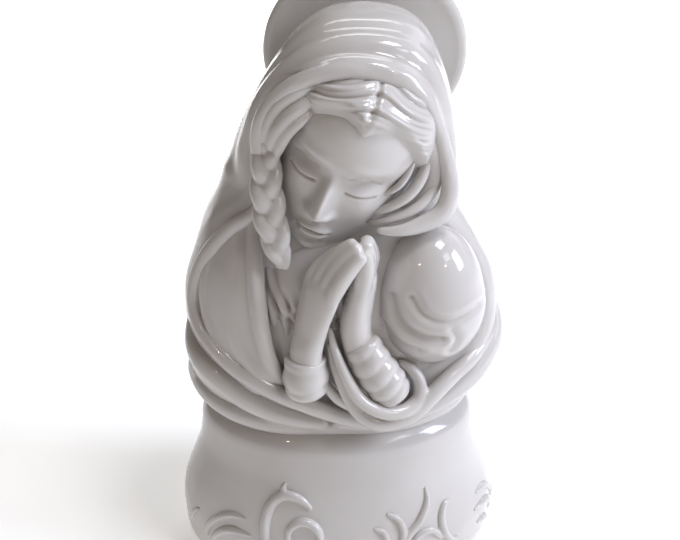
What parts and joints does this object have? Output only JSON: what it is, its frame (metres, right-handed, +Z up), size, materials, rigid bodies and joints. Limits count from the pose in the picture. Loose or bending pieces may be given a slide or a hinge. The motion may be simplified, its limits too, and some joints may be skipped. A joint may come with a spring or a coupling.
{
  "type": "praying madonna bust",
  "caption": "white glazed porcelain bust of a praying madonna with a hooded veil, disc halo and bell-shaped pedestal",
  "frame": {"origin": "middle of the foot's footprint on the table", "axes": "+Z up, the figure faces -Y, +X is the figure's own left"},
  "size_m": [0.1456, 0.1044, 0.2654],
  "materials": {
    "pedestal_glaze": "clear gloss glaze",
    "cloth_glaze": "clear gloss glaze",
    "skin_glaze": "clear gloss glaze",
    "hair_glaze": "clear gloss glaze",
    "halo_glaze": "clear gloss glaze",
    "ornament_glaze": "clear gloss glaze"
  },
  "bodies": {
    "root": {"pedestal": "pedestal_glaze", "mantle_body": "cloth_glaze", "waist_wrap": "cloth_glaze", "veil_hood": "cloth_glaze", "bodice": "cloth_glaze", "left_sleeve": "cloth_glaze", "lapel_panel": "cloth_glaze", "head": "skin_glaze", "hair": "hair_glaze", "veil_lining": "cloth_glaze", "temple_curl": "hair_glaze", "plait": "hair_glaze", "veil_inner_folds": "cloth_glaze", "right_hand": "skin_glaze", "right_cuff": "cloth_glaze", "left_hand": "skin_glaze", "left_cuff": "cloth_glaze", "wrist_drape": "cloth_glaze", "mantle_hem": "cloth_glaze", "halo": "halo_glaze", "scroll_front_right": "ornament_glaze", "scroll_front_left": "ornament_glaze", "scroll_side_right": "ornament_glaze", "scroll_side_left": "ornament_glaze", "scroll_back_right": "ornament_glaze", "scroll_back_left": "ornament_glaze"}
  },
  "joints": []
}
